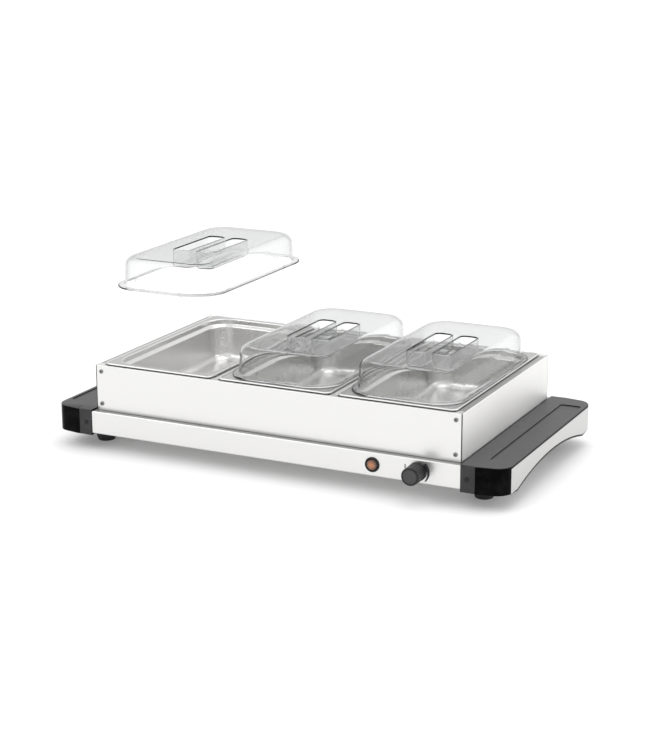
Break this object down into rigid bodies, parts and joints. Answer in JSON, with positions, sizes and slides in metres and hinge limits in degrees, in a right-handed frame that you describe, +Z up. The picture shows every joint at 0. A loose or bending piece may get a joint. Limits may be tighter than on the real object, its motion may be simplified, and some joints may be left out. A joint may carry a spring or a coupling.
{
  "type": "electric buffet server",
  "caption": "Tabletop buffet warmer: a heated base with side handles, a dial and a lamp, under a lift-off steel frame of food pans with clear domed lids.",
  "frame": {"origin": "on the floor, under the middle of the whole object", "axes": "+X to the right along the row of pans, seen from the front; -Y is the front, with the knob and the lamp; +Z up"},
  "size_m": [0.704, 0.411, 0.2819],
  "materials": {
    "amber_lens": "gloss",
    "band_stainless": "brushed satin",
    "brass_parts": "machined",
    "brushed_stainless": "brushed satin",
    "clear_plastic": "clear gloss",
    "control_plastic": "satin",
    "foot_rubber": "matte",
    "galvanised_sheet": "dull",
    "handle_plastic": "satin",
    "heater_foil": "foil",
    "insulation": "fibrous",
    "pale_plastic": "matte",
    "pan_stainless": "satin",
    "screws": "satin",
    "soft_pads": "matte"
  },
  "bodies": {
    "base": {"base_cover": "brushed_stainless", "bottom_plate": "galvanised_sheet", "bottom_screws": "screws", "bushing_nut": "brass_parts", "cable_gland": "control_plastic", "clamp_plate": "galvanised_sheet", "clamp_spacers": "galvanised_sheet", "end_plate_left": "galvanised_sheet", "end_plate_right": "galvanised_sheet", "foot_back_left": "foot_rubber", "foot_back_right": "foot_rubber", "foot_front_left": "foot_rubber", "foot_front_right": "foot_rubber", "foot_screws": "screws", "gland_nut": "control_plastic", "handle_band_left": "band_stainless", "handle_band_right": "band_stainless", "handle_left": "handle_plastic", "handle_right": "handle_plastic", "handle_screws": "screws", "heating_mat": "heater_foil", "insulation_pad": "insulation", "lamp_bezel": "control_plastic", "lamp_body": "pale_plastic", "lamp_clip": "control_plastic", "lamp_lens": "amber_lens", "terminal_block": "pale_plastic", "thermal_cutout": "pale_plastic", "thermostat_bushing": "brass_parts", "thermostat_case": "pale_plastic"},
    "knob": {"knob": "control_plastic", "thermostat_shaft": "brass_parts"},
    "frame": {"crossbar_left": "brushed_stainless", "crossbar_right": "brushed_stainless", "frame_back": "brushed_stainless", "frame_front": "brushed_stainless", "frame_left": "brushed_stainless", "frame_pads": "soft_pads", "frame_right": "brushed_stainless", "frame_screws": "screws"},
    "left_pan": {"pan_left": "pan_stainless"},
    "middle_pan": {"pan_middle": "pan_stainless"},
    "right_pan": {"pan_right": "pan_stainless"},
    "left_lid": {"lid_left": "clear_plastic"},
    "middle_lid": {"lid_middle": "clear_plastic"},
    "right_lid": {"lid_right": "clear_plastic"}
  },
  "joints": [
    {"name": "knob_turn", "type": "hinge", "parent": "base", "child": "knob", "pos_m": [0.2265, -0.1785, 0.0425], "axis": [0, 1, 0], "range_deg": [0, 270]},
    {"name": "frame_lift", "type": "slide", "parent": "base", "child": "frame", "axis": [0, 0, 1], "range_m": [0, 0.15]},
    {"name": "left_pan_lift", "type": "slide", "parent": "frame", "child": "left_pan", "axis": [0, 0, 1], "range_m": [0, 0.12]},
    {"name": "middle_pan_lift", "type": "slide", "parent": "frame", "child": "middle_pan", "axis": [0, 0, 1], "range_m": [0, 0.12]},
    {"name": "right_pan_lift", "type": "slide", "parent": "frame", "child": "right_pan", "axis": [0, 0, 1], "range_m": [0, 0.12]},
    {"name": "left_lid_lift", "type": "slide", "parent": "left_pan", "child": "left_lid", "axis": [0, 0, 1], "range_m": [-0.11, 0.04]},
    {"name": "middle_lid_lift", "type": "slide", "parent": "middle_pan", "child": "middle_lid", "axis": [0, 0, 1], "range_m": [0, 0.15]},
    {"name": "right_lid_lift", "type": "slide", "parent": "right_pan", "child": "right_lid", "axis": [0, 0, 1], "range_m": [0, 0.15]}
  ]
}
